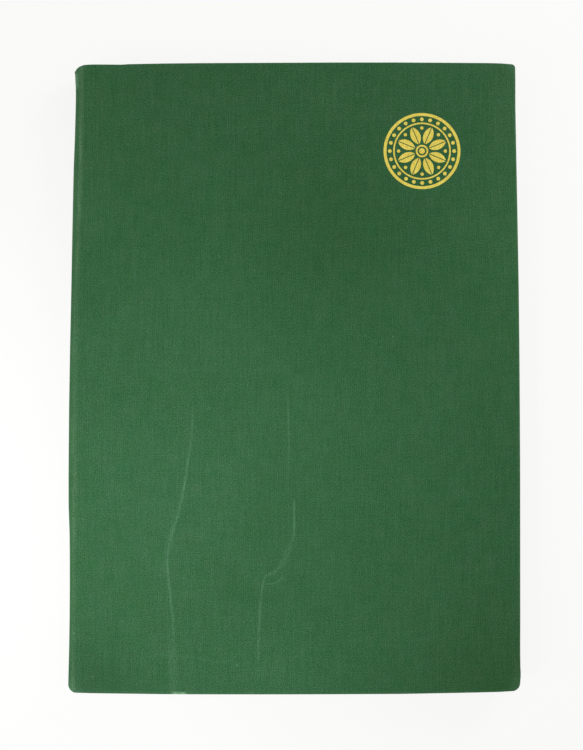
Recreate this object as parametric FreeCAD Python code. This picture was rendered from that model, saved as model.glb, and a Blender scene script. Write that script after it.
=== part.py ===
"""Cloth-bound stamp album (stock book), lying closed on its back cover.

Frame: +Z up, front cover on top, +Y towards the head of the book, spine at -X,
fore-edge at +X. Origin at the middle of the footprint, on the resting plane.
All sizes are in millimetres.

The case is made of two boards and a spine strip that share one book cloth,
which is cut here at the two cloth joints. The block is eight card leaves on linen
guards, with a glassine interleaf in front of each, sewn through compensation
stubs on tapes. Each page carries nine glassine pocket strips.
"""

import FreeCAD
import Part
import math
import os

V = FreeCAD.Vector

# ---------------------------------------------------------------- driving sizes
W = 226.0            # spine face to fore-edge of the covers
H = 318.0            # head to tail of the covers
T = 22.0             # closed thickness
CLOTH = 0.4          # book cloth with its glue
BOARD = 2.5          # cover board
PASTE = 0.15         # pastedown paper
TURN_IN = 16.0       # cloth folded to the inside of the boards
SHOULDER_R = 3.2     # outer radius of the cloth joints
CORNER_R = 3.0       # plan radius of the cloth-wrapped fore-edge corners
EDGE_R = 0.9         # rounding of the cloth-wrapped board edges
SPINE_BOARD = 1.5    # spine strip
SQUARE = 4.0         # cover overhang past the leaves
END_MARGIN = 3.0     # cloth left showing round the pastedown

N_LEAVES = 8
CARD = 0.8           # leaf card
GUARD = 0.2          # linen guard, each side of the card
GUARD_W = 12.6       # guard's glued width on the card
TONGUE = 0.4         # bare linen between the stub and the card
BEAD_R = 0.25        # rolled edge of the guard, on the leaf's hinge axis
STRIP_T = 0.12       # pocket strip
STRIP_H = 26.0       # pocket strip height
STRIP_PITCH = 33.5   # from one pocket strip to the next
N_STRIPS = 9
GLASSINE = 0.08      # interleaf
FLY = 0.2            # free endpaper
STUB_W = 5.9         # compensation stub, spine to leaf hinge
TAPE_W = 12.0
TAPE_Y = (-95.0, 0.0, 95.0)
KETTLE_Y = (-138.0, 138.0)
FOIL = 0.05          # blocked gold foil
ORNAMENT_AT = (65.0, 114.0)   # centre of the foil ornament on the front cover

# ---------------------------------------------------------------- derived sizes
X0, X1 = -W / 2, W / 2
Y0, Y1 = -H / 2, H / 2
MID = T / 2
B_TOP = T - CLOTH                    # top of the front board
B_BOT = B_TOP - BOARD                # underside of the front board
TI_BOT = B_BOT - CLOTH               # underside of the turn-ins
PD_BOT = TI_BOT - PASTE              # underside of the front pastedown
X_SH = X0 + SHOULDER_R               # where the flat of a cover starts
X_BOARD = X_SH + 0.2                 # spine edge of the boards
STUB_X0 = -109.9                     # back of the block
STUB_X1 = STUB_X0 + STUB_W           # front of the stubs
HINGE_X = STUB_X1 + 0.3              # hinge axis of leaves and interleaves
BLOCK_LO = T - 18.05                 # stack of stubs, lowest and highest
BLOCK_HI = 18.05
PITCH = (BLOCK_HI - BLOCK_LO) / N_LEAVES
LEAF_X0 = HINGE_X + 2.9              # spine edge of the card
LEAF_X1 = X1 - SQUARE
LEAF_Y = H / 2 - SQUARE
STUB_Y = LEAF_Y - 1.0
FLY_X = STUB_X0 + 0.4                # hinge axis of the free endpapers
FLY_Z = BLOCK_HI + 0.25

os.makedirs("parts", exist_ok=True)
SHAPES = {}


def box(x0, x1, y0, y1, z0, z1):
    return Part.makeBox(x1 - x0, y1 - y0, z1 - z0, V(x0, y0, z0))


def prism_xz(points, y0, y1):
    """A prism with this outline in x and z, from y0 to y1."""
    ring = [V(x, y0, z) for x, z in points] + [V(points[0][0], y0, points[0][1])]
    return Part.Face(Part.makePolygon(ring)).extrude(V(0, y1 - y0, 0))


def rod_y(x, z, r, y0, y1):
    return Part.makeCylinder(r, y1 - y0, V(x, y0, z), V(0, 1, 0))


def fillet(shape, radius, wanted):
    edges = [e for e in shape.Edges if wanted(e)]
    return shape.makeFillet(radius, edges)


def upright(e):
    a, b = e.Vertexes[0].Point, e.Vertexes[-1].Point
    return len(e.Vertexes) == 2 and abs(a.x - b.x) < 1e-6 and abs(a.y - b.y) < 1e-6


def mirrored(shape):
    """The same piece of the back cover: mirrored in the middle of the thickness."""
    return shape.mirror(V(0, 0, MID), V(0, 0, 1))


def add(name, shape):
    assert shape.isValid(), name
    assert all(s.Volume > 0 for s in shape.Solids), name
    SHAPES[name] = shape


# ---------------------------------------------------------------- the case
def slab(x0, x1, y, z0, z1, corner_r, edge_r):
    """A cover slab with rounded fore-edge corners, and its outer edges rounded on the outer face."""
    s = box(x0, x1, -y, y, z0, z1)
    s = fillet(s, corner_r, lambda e: upright(e) and e.CenterOfMass.x > 0)
    if edge_r:
        def outer(e):
            c = e.CenterOfMass
            flat = all(abs(v.Point.z - z1) < 1e-6 for v in e.Vertexes)
            return flat and abs(c.z - z1) < 1e-6 and c.x > x0 + 1e-3
        s = fillet(s, edge_r, outer)
    return s


board = slab(X_BOARD, X1 - CLOTH, Y1 - CLOTH, B_BOT, B_TOP, CORNER_R - CLOTH, EDGE_R - CLOTH)
outer = slab(X_SH, X1, Y1, TI_BOT, T, CORNER_R, EDGE_R)
inner = slab(X_SH - 5.0, X1 - CLOTH, Y1 - CLOTH, B_BOT, B_TOP, CORNER_R - CLOTH, EDGE_R - CLOTH)
window = box(X_SH - 5.0, X1 - CLOTH - TURN_IN, Y0 + CLOTH + TURN_IN, Y1 - CLOTH - TURN_IN, TI_BOT - 1.0, B_BOT + 0.05)
cloth = outer.cut(inner).cut(window)
paste = box(X_SH + 0.4, X1 - CLOTH - END_MARGIN, Y0 + CLOTH + END_MARGIN, Y1 - CLOTH - END_MARGIN, PD_BOT, TI_BOT)
infill = box(X_SH + 0.4, X1 - CLOTH - TURN_IN - 0.1, Y0 + CLOTH + TURN_IN + 0.1, Y1 - CLOTH - TURN_IN - 0.1, TI_BOT - 0.05, B_BOT)
paste = paste.fuse(infill).removeSplitter()

add("front_board", board)
add("front_cover_cloth", cloth)
add("front_pastedown", paste)
add("back_board", mirrored(board))
add("back_cover_cloth", mirrored(cloth))
add("back_pastedown", mirrored(paste))

# spine strip, its cloth with head and tail turn-ins, and the two cloth joints
S_LO, S_HI = SHOULDER_R, T - SHOULDER_R
sb_x1 = X0 + CLOTH + SPINE_BOARD
add("spine_strip", box(X0 + CLOTH, sb_x1, Y0 + CLOTH, Y1 - CLOTH, S_LO + 0.4, S_HI - 0.4))
skin = box(X0, sb_x1 + CLOTH, Y0, Y1, S_LO, S_HI)
skin = skin.cut(box(X0 + CLOTH, sb_x1, Y0 + CLOTH, Y1 - CLOTH, S_LO - 1, S_HI + 1))
skin = skin.cut(box(X0 + CLOTH, sb_x1 + 1, Y0 + CLOTH + 12.0, Y1 - CLOTH - 12.0, S_LO - 1, S_HI + 1))
add("spine_cloth", skin)


def joint_cloth():
    c = V(X_SH, 0, T - SHOULDER_R)
    r1, r0 = SHOULDER_R, SHOULDER_R - CLOTH
    d = math.sqrt(0.5)

    def at(r, a, b):
        return V(c.x + r * a, Y0, c.z + r * b)

    wire = Part.Wire([
        Part.Arc(at(r1, 0, 1), at(r1, -d, d), at(r1, -1, 0)).toShape(),
        Part.LineSegment(at(r1, -1, 0), at(r0, -1, 0)).toShape(),
        Part.Arc(at(r0, -1, 0), at(r0, -d, d), at(r0, 0, 1)).toShape(),
        Part.LineSegment(at(r0, 0, 1), at(r1, 0, 1)).toShape(),
    ])
    return Part.Face(wire).extrude(V(0, H, 0))


front_joint = joint_cloth()
add("front_joint_cloth", front_joint)
add("back_joint_cloth", mirrored(front_joint))

# ---------------------------------------------------------------- the sewn back of the block
TAPE_X0 = STUB_X0 - 0.3
THREAD_X0 = TAPE_X0 - 0.2
MULL_X0 = THREAD_X0 - 0.25
LINING_X0 = MULL_X0 - 0.2
leaf_z = [BLOCK_HI - (k + 0.5) * PITCH for k in range(N_LEAVES)]

add("compensation_stubs", Part.makeCompound([
    box(STUB_X0, STUB_X1, -STUB_Y, STUB_Y, z - PITCH / 2 + 0.01, z + PITCH / 2 - 0.01) for z in leaf_z]))
add("sewing_tapes", Part.makeCompound([
    box(TAPE_X0, STUB_X0, y - TAPE_W / 2, y + TAPE_W / 2, BLOCK_LO + 0.05, BLOCK_HI - 0.05) for y in TAPE_Y]))
stitches = [box(THREAD_X0, TAPE_X0, y - TAPE_W / 2 - 0.5, y + TAPE_W / 2 + 0.5, z - 0.2, z + 0.2)
            for y in TAPE_Y for z in leaf_z]
stitches += [box(THREAD_X0, STUB_X0, y - 0.3, y + 0.3, leaf_z[k + 1] - 0.25, leaf_z[k] - 0.35)
             for y in KETTLE_Y for k in range(N_LEAVES - 1)]
add("sewing_thread", Part.makeCompound(stitches))
add("mull", box(MULL_X0, THREAD_X0, -149.0, 149.0, BLOCK_LO + 0.05, BLOCK_HI - 0.05))
add("spine_lining", box(LINING_X0, MULL_X0, -146.0, 146.0, BLOCK_LO + 0.05, BLOCK_HI - 0.05))


def band():
    """Rolled bead that sits on the head of the block, with the tape that glues it to the back."""
    z0, z1 = BLOCK_LO + 0.25, BLOCK_HI - 0.25
    bead = Part.makeCylinder(1.0, z1 - z0, V(STUB_X0 + 1.1, STUB_Y + 1.05, z0), V(0, 0, 1))
    tail = box(STUB_X0 - 0.45, STUB_X0 - 0.02, 149.6, STUB_Y + 1.05, z0, z1)
    link = box(STUB_X0 - 0.45, STUB_X0 + 1.1, STUB_Y + 0.05, STUB_Y + 1.05, z0, z1)
    return bead.fuse(tail).fuse(link).removeSplitter()


head = band()
add("headband", head)
add("tailband", head.mirror(V(0, 0, 0), V(0, 1, 0)))

# ---------------------------------------------------------------- leaves
add("front_flyleaf", box(FLY_X + 0.1, LEAF_X1, -LEAF_Y, LEAF_Y, FLY_Z - FLY / 2, FLY_Z + FLY / 2))
add("back_flyleaf", mirrored(SHAPES["front_flyleaf"]))

for k, z in enumerate(leaf_z, 1):
    add(f"leaf_{k}_card", box(LEAF_X0, LEAF_X1, -LEAF_Y, LEAF_Y, z - CARD / 2, z + CARD / 2))
    h, g = CARD / 2, CARD / 2 + GUARD
    tongue = TONGUE / 2
    fork = [
        (HINGE_X, z + tongue), (HINGE_X + 1.0, z + tongue), (LEAF_X0 - 0.4, z + g), (LEAF_X0 + GUARD_W, z + g),
        (LEAF_X0 + GUARD_W, z + h), (LEAF_X0, z + h), (LEAF_X0, z - h), (LEAF_X0 + GUARD_W, z - h),
        (LEAF_X0 + GUARD_W, z - g), (LEAF_X0 - 0.4, z - g), (HINGE_X + 1.0, z - tongue), (HINGE_X, z - tongue),
    ]
    guard = prism_xz(fork, -STUB_Y, STUB_Y).fuse(rod_y(HINGE_X, z, BEAD_R, -STUB_Y, STUB_Y)).removeSplitter()
    add(f"leaf_{k}_guard", guard)
    x0, x1 = LEAF_X0 + GUARD_W + 1.6, LEAF_X1 - 2.0
    strips = []
    for side in (1, -1):
        for j in range(N_STRIPS):
            y = -LEAF_Y + 8.0 + j * STRIP_PITCH
            zs = sorted((z + side * CARD / 2, z + side * (CARD / 2 + STRIP_T)))
            strips.append(box(x0, x1, y, y + STRIP_H, zs[0], zs[1]))
    add(f"leaf_{k}_pockets", Part.makeCompound(strips))
    zi = z + PITCH / 2
    add(f"interleaf_{k}", box(HINGE_X + 0.15, LEAF_X1 - 1.5, -LEAF_Y + 1.5, LEAF_Y - 1.5, zi - GLASSINE / 2, zi + GLASSINE / 2))


# ---------------------------------------------------------------- blocked ornament: a rosette in a beaded double ring
def disc(x, y, r):
    return Part.makeCylinder(r, FOIL, V(x, y, T), V(0, 0, 1))


def ring(x, y, r1, r0):
    return disc(x, y, r1).cut(Part.makeCylinder(r0, 4 * FOIL, V(x, y, T - FOIL), V(0, 0, 1)))


def petal(x, y, angle, r0, r1, half, vein):
    """Half of a pointed petal: a curved outer edge and a straight edge beside the vein."""
    c, s = math.cos(angle), math.sin(angle)

    def at(u, v):
        return V(x + u * c - v * s, y + u * s + v * c, T)

    sign = 1 if half > 0 else -1
    a, b = at(r0, sign * vein), at(r1, sign * vein)
    m = at(r0 + 0.56 * (r1 - r0), half)
    wire = Part.Wire([Part.Arc(a, m, b).toShape(), Part.LineSegment(b, a).toShape()])
    return Part.Face(wire).extrude(V(0, 0, FOIL))


ox, oy = ORNAMENT_AT
foil = [ring(ox, oy, 19.6, 18.1), ring(ox, oy, 14.7, 13.9), disc(ox, oy, 1.5), ring(ox, oy, 3.2, 2.3)]
foil += [disc(ox + 16.4 * math.cos(a), oy + 16.4 * math.sin(a), 0.95)
         for a in (2 * math.pi * i / 24 for i in range(24))]
for i in range(8):
    a = math.pi / 8 + 2 * math.pi * i / 8
    foil += [petal(ox, oy, a, 3.9, 13.1, 2.45, 0.22), petal(ox, oy, a, 3.9, 13.1, -2.45, 0.22)]
    b = 2 * math.pi * i / 8
    foil.append(disc(ox + 11.9 * math.cos(b), oy + 11.9 * math.sin(b), 0.85))
add("cover_ornament", Part.makeCompound(foil))

# ---------------------------------------------------------------- write
for name, shape in SHAPES.items():
    shape.exportStep(f"parts/{name}.step")

HINGE = SHOULDER_R - CLOTH / 2
P = HINGE * math.sqrt(0.5)
print("nodes", len(SHAPES), "solids", sum(len(s.Solids) for s in SHAPES.values()))
print("front hinge axis x,z", round(X_SH - P, 4), round(T - SHOULDER_R + P, 4))
print("back hinge axis x,z", round(X_SH - P, 4), round(SHOULDER_R - P, 4))
print("leaf hinge x", HINGE_X, "z", [round(z, 4) for z in leaf_z], "pitch", PITCH)
print("flyleaf hinge x,z", FLY_X, FLY_Z, T - FLY_Z)
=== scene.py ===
"""Cloth-bound stamp album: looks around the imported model, in metres, in the model's own frame."""
import math

import bmesh
import bpy
import numpy as np
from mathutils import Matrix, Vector


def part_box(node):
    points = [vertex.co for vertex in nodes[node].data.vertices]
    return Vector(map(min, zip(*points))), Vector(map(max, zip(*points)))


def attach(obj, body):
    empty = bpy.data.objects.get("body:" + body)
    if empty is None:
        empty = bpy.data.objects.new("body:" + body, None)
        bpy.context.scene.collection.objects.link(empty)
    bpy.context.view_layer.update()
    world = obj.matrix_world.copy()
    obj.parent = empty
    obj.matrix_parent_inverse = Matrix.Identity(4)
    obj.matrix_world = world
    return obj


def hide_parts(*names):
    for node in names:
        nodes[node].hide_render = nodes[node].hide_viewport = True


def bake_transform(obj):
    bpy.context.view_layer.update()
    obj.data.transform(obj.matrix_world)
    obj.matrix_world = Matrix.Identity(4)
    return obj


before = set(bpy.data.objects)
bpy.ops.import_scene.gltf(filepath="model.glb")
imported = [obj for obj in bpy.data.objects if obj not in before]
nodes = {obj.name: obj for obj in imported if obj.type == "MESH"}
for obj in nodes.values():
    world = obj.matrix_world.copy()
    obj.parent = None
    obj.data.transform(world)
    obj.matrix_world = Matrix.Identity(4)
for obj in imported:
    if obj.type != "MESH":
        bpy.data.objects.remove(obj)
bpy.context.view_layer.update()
scene = bpy.context.scene
MM = 0.001

# ------------------------------------------------------------------ sizes of the model, in millimetres
W, H, T = 226.0, 318.0, 22.0
X0, X1, Y1 = -W / 2, W / 2, H / 2
SH = 3.2                      # shoulder radius
XS = X0 + SH                  # spine edge of the flat of a cover
ZS = T - SH
CLOTH_T = 0.36
DEPTH = 3.3                   # outer face to the underside of the turn-ins
SEAM_Z = 17.8                 # where the shoulder cloth meets the spine panel
U_MID = XS - SH * math.pi / 2 - (ZS - T / 2)
N_LEAVES, BLOCK_HI = 8, 18.05
PITCH = (BLOCK_HI - (T - BLOCK_HI)) / N_LEAVES
LEAF_Z = [BLOCK_HI - (k + 0.5) * PITCH for k in range(N_LEAVES)]


def lerp(x, xs, ys):
    return float(np.interp(x, xs, ys))


# ------------------------------------------------------------------ small node-graph helper
class Graph:
    """A material's node tree, with sockets passed around as values."""

    def __init__(self, name):
        self.mat = bpy.data.materials.new(name)
        self.mat.use_nodes = True
        self.t = self.mat.node_tree
        self.t.nodes.clear()
        self.out = self.t.nodes.new("ShaderNodeOutputMaterial")
        self.bsdf = self.t.nodes.new("ShaderNodeBsdfPrincipled")
        self.t.links.new(self.bsdf.outputs[0], self.out.inputs[0])

    def put(self, socket, value):
        if isinstance(value, bpy.types.NodeSocket):
            self.t.links.new(value, socket)
        elif value is not None:
            if socket.type == "RGBA" and len(value) == 3:
                value = (*value, 1.0)
            socket.default_value = value

    def set(self, **values):
        for key, value in values.items():
            self.put(self.bsdf.inputs[key.replace("_", " ")], value)
        return self.mat

    def math(self, op, a, b=None, c=None, clamp=False):
        n = self.t.nodes.new("ShaderNodeMath")
        n.operation, n.use_clamp = op, clamp
        for s, v in zip(n.inputs, (a, b, c)):
            self.put(s, v)
        return n.outputs[0]

    def add(self, a, b): return self.math("ADD", a, b)
    def sub(self, a, b): return self.math("SUBTRACT", a, b)
    def mul(self, a, b): return self.math("MULTIPLY", a, b)
    def mad(self, a, b, c): return self.math("MULTIPLY_ADD", a, b, c)
    def top(self, a, b): return self.math("MAXIMUM", a, b)
    def low(self, a, b): return self.math("MINIMUM", a, b)

    def cos(self, a, turns):
        return self.math("COSINE", self.mul(a, 2 * math.pi * turns))

    def attribute(self, name):
        n = self.t.nodes.new("ShaderNodeAttribute")
        n.attribute_name = name
        return n.outputs["Vector"]

    def place(self):
        """The point on the piece at rest, in millimetres."""
        n = self.t.nodes.new("ShaderNodeTexCoord")
        return self.scaled(n.outputs["Object"], 1000.0)

    def scaled(self, v, k):
        n = self.t.nodes.new("ShaderNodeVectorMath")
        if isinstance(k, tuple):
            n.operation = "MULTIPLY"
            self.put(n.inputs[0], v)
            n.inputs[1].default_value = k
        else:
            n.operation = "SCALE"
            self.put(n.inputs[0], v)
            n.inputs[3].default_value = k
        return n.outputs[0]

    def vadd(self, a, b):
        n = self.t.nodes.new("ShaderNodeVectorMath")
        n.operation = "ADD"
        self.put(n.inputs[0], a)
        self.put(n.inputs[1], b)
        return n.outputs[0]

    def split(self, v):
        n = self.t.nodes.new("ShaderNodeSeparateXYZ")
        self.put(n.inputs[0], v)
        return n.outputs[0], n.outputs[1], n.outputs[2]

    def joined(self, x, y, z=0.0):
        n = self.t.nodes.new("ShaderNodeCombineXYZ")
        for s, v in zip(n.inputs, (x, y, z)):
            self.put(s, v)
        return n.outputs[0]

    def noise(self, v, scale=1.0, detail=2.0, rough=0.5, colour=False):
        n = self.t.nodes.new("ShaderNodeTexNoise")
        n.noise_dimensions = "3D"
        self.put(n.inputs["Vector"], v)
        n.inputs["Scale"].default_value = scale
        n.inputs["Detail"].default_value = detail
        n.inputs["Roughness"].default_value = rough
        return n.outputs["Color" if colour else "Fac"]

    def range(self, v, a, b, c=0.0, d=1.0, smooth=True):
        n = self.t.nodes.new("ShaderNodeMapRange")
        n.interpolation_type = "SMOOTHSTEP" if smooth else "LINEAR"
        self.put(n.inputs["Value"], v)
        for k, x in zip(("From Min", "From Max", "To Min", "To Max"), (a, b, c, d)):
            n.inputs[k].default_value = x
        return n.outputs[0]

    def mix(self, fac, a, b, mode="MIX"):
        n = self.t.nodes.new("ShaderNodeMix")
        n.data_type, n.blend_type = "RGBA", mode
        self.put(n.inputs[0], fac)
        self.put(n.inputs[6], a)
        self.put(n.inputs[7], b)
        return n.outputs[2]

    def curve(self, v, points):
        """A smooth curve through points (x, y), both from 0 to 1."""
        n = self.t.nodes.new("ShaderNodeFloatCurve")
        c = n.mapping.curves[0]
        while len(c.points) < len(points):
            c.points.new(0.5, 0.5)
        for p, (x, y) in zip(c.points, points):
            p.location = (x, y)
            p.handle_type = "AUTO"
        n.mapping.update()
        n.inputs["Factor"].default_value = 1.0
        self.put(n.inputs["Value"], v)
        return n.outputs[0]

    def bump(self, height_mm, strength=1.0, normal=None):
        n = self.t.nodes.new("ShaderNodeBump")
        n.inputs["Strength"].default_value = strength
        n.inputs["Distance"].default_value = MM
        self.put(n.inputs["Height"], height_mm)
        self.put(n.inputs["Normal"], normal)
        return n.outputs[0]


def srgb(r, g, b):
    return tuple(((c / 255 + 0.055) / 1.055) ** 2.4 if c > 10 else c / 255 / 12.92 for c in (r, g, b))


# ------------------------------------------------------------------ materials
WARP, WEFT = 1.10, 1.08       # thread pitch across and along the book


def weave(g, v):
    """Plain weave: (height 0 to 1, streaks along the warp, streaks along the weft), from a position in millimetres."""
    drift = g.scaled(g.vadd(g.noise(v, 0.028, 1.0, colour=True), (-0.5, -0.5, -0.5)), (1.6, 1.2, 0.0))
    wander = g.scaled(g.vadd(g.noise(v, 0.21, 2.0, 0.6, colour=True), (-0.5, -0.5, -0.5)), (1.1, 1.5, 0.0))
    x, y, _ = g.split(g.vadd(v, g.vadd(drift, wander)))
    across, along = g.cos(x, 1 / WARP), g.cos(y, 1 / WEFT)
    over = g.mul(g.cos(x, 0.5 / WARP), g.cos(y, 0.5 / WEFT))
    warp = g.mul(g.mad(across, 0.5, 0.5), g.mad(over, 0.34, 0.66))
    weft = g.mul(g.mad(along, 0.5, 0.5), g.mad(over, -0.34, 0.47))
    height = g.top(warp, weft)
    slub = g.noise(g.joined(g.mul(x, 0.82), g.mul(y, 0.045)), 1.0, 2.0, 0.6)
    short = g.noise(g.joined(g.mul(x, 0.9), g.mul(y, 0.22), 7.0), 1.0, 2.0, 0.6)
    fill = g.noise(g.joined(g.mul(x, 0.05), g.mul(y, 0.75), 3.0), 1.0, 2.0, 0.6)
    return height, g.add(g.mul(slub, 0.6), g.mul(short, 0.4)), fill


def crease(g, x, y, course, strength, half_width):
    """A line down the cover: course and strength are (y, x) and (y, amount) pairs in millimetres."""
    t = g.mad(y, 1 / 340.0, 0.5)
    at = g.curve(t, [(0.5 + a / 340.0, 0.5 + b / 240.0) for a, b in course])
    amount = g.curve(t, [(0.5 + a / 340.0, b) for a, b in strength])
    off = g.math("ABSOLUTE", g.sub(x, g.mad(at, 240.0, -120.0)))
    return g.mul(g.range(off, half_width * 0.25, half_width, 1.0, 0.0), amount)


# lines pressed into the front cover: "course" and "strength" run along y where the line goes down the cover, along x where it crosses it
CREASES = [
    dict(down=True, half=0.95, course=[
        (-170, -60.2), (-158, -60.2), (-143.6, -60.5), (-131.8, -60.7), (-123.8, -61.0), (-115.9, -61.9), (-107.9, -62.7), (-100.0, -63.5), (-95.0, -64.0),
        (-90.0, -63.6), (-84.0, -62.7), (-76.0, -60.3), (-68.0, -57.9), (-60.0, -56.3), (-52.0, -55.0), (-43.9, -53.8), (-35.9, -52.6),
        (-27.8, -52.0), (-19.7, -51.5), (170, -51.0)],
        strength=[(-170, 0.3), (-150, 0.40), (-133, 0.48), (-121, 0.40), (-112, 0.82), (-103, 0.80), (-90, 0.62), (-78, 0.64), (-68, 0.58), (-62, 0.97), (-52, 0.78),
                  (-41, 0.60), (-25, 0.36), (-17, 0.25), (-13, 0.0), (170, 0.0)]),
    dict(down=True, half=2.3, course=[(-170, -64.3), (-108, -63.2), (-95, -64.4), (-84, -63.0), (-68, -58.2), (-58, -56.2), (170, -56.0)],
         strength=[(-170, 0.0), (-110, 0.0), (-102, 0.20), (-92, 0.25), (-80, 0.23), (-68, 0.18), (-60, 0.0), (170, 0.0)]),
    dict(down=True, half=3.4, course=[(-170, -60.0), (-157, -60.1), (-145, -61.0), (-128, -61.4), (170, -61.4)],
         strength=[(-170, 0.23), (-156, 0.25), (-146, 0.32), (-136, 0.25), (-122, 0.0), (170, 0.0)]),
    dict(down=True, half=0.75, course=[(-170, -3.3), (-46, -3.3), (-38, -3.05), (-28, -3.05), (-18, -3.3), (-9, -3.7), (170, -3.7)],
         strength=[(-170, 0.0), (-52, 0.0), (-44, 0.22), (-34, 0.46), (-26, 0.54), (-18, 0.5), (-10, 0.2), (-4, 0.0), (170, 0.0)]),
    dict(down=True, half=0.95, course=[
        (-170, -18.2), (-141.2, -18.2), (-135.3, -18.35), (-126.3, -18.0), (-120.4, -17.6), (-114.4, -17.2), (-108.5, -16.5), (-105.5, -16.1), (-103.0, -15.5),
        (-100.8, -14.3), (-99.6, -12.3), (-98.3, -9.6), (-96.5, -7.4), (-93.5, -5.3), (-90.5, -4.0), (-87.5, -3.0), (-84.5, -1.7), (-81.6, -0.7),
        (-78.0, -0.4), (-66.0, -0.35), (170, 0.0)],
        strength=[(-170, 0.0), (-145, 0.0), (-141, 0.55), (-135, 0.62), (-127, 0.54), (-118, 0.7), (-111, 0.5), (-104, 0.6), (-97, 0.5), (-92, 0.42),
                  (-87, 0.34), (-84, 0.4), (-79, 0.68), (-67, 0.80), (-64, 0.6), (-61.5, 0.0), (170, 0.0)]),
    dict(down=True, half=2.6, course=[(-170, -9.0), (-99, -9.6), (-96.5, -7.2), (-93.5, -5.4), (-90.5, -4.0), (-87.5, -2.9), (-84, -1.6), (170, -1.0)],
         strength=[(-170, 0.0), (-100, 0.0), (-97, 0.3), (-92, 0.42), (-87, 0.32), (-82, 0.0), (170, 0.0)]),
    dict(down=False, half=1.3, course=[(-170, -101.6), (-15.4, -101.6), (-13, -100.7), (-10.5, -99.6), (-8.5, -97.9), (-6.5, -95.4), (170, -95.0)],
         strength=[(-170, 0.0), (-16.5, 0.0), (-15, 0.35), (-10, 0.5), (-7, 0.4), (-5, 0.0), (170, 0.0)]),
    dict(down=False, half=1.1, course=[(-170, -139.4), (-68, -139.4), (-49, -141.0), (-32, -142.1), (-19, -141.8), (170, -141.8)],
         strength=[(-170, 0.0), (-74, 0.0), (-66, 0.17), (-50, 0.2), (-30, 0.22), (-19, 0.18), (-15.5, 0.0), (170, 0.0)]),
    dict(down=False, half=0.9, course=[(-170, -105.1), (-13, -105.1), (-10, -104.6), (-7.5, -103.3), (-5.5, -101.7), (170, -101.0)],
         strength=[(-170, 0.0), (-15, 0.0), (-12.5, 0.38), (-8, 0.4), (-6, 0.28), (-4.2, 0.0), (170, 0.0)]),
]


# broad patches that tint the front cover lighter or darker: in part painted light and shade (lighter at the lower left
# and along the fore-edge, darker towards the head and at the tail corner of the fore-edge), in part uneven fading and
# soiling: centre, half-sizes, and how far each tints red, green and blue
LIGHT_SHADE_AND_SOIL_PATCHES = [
    ((18, 72), (65, 75), (0.85, 0.885, 0.82)),
    ((-8, -155), (80, 50), (1.15, 1.135, 1.18)),
    ((-104, -155), (38, 38), (0.91, 0.87, 0.92)),
    ((114, 60), (48, 130), (1.125, 1.095, 1.045)),
    ((-114, 125), (48, 85), (1.16, 1.11, 1.08)),
    ((108, -152), (60, 60), (0.905, 0.89, 0.80)),
    ((-60, -60), (60, 60), (1.06, 1.035, 1.09)),
]


def crease_height(x, y):
    """Height in millimetres of the pressed lines over the flat of the front cover."""
    best = 0.0
    for line in CREASES:
        along, across = (y, x) if line["down"] else (x, y)
        amount = lerp(along, *zip(*line["strength"]))
        if amount > 0.0:
            off = abs(across - lerp(along, *zip(*line["course"]))) / (line["half"] * 1.25)
            if off < 1.0:
                best = max(best, amount * (1.0 - off * off * (3.0 - 2.0 * off)))
    return 0.13 * best


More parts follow.
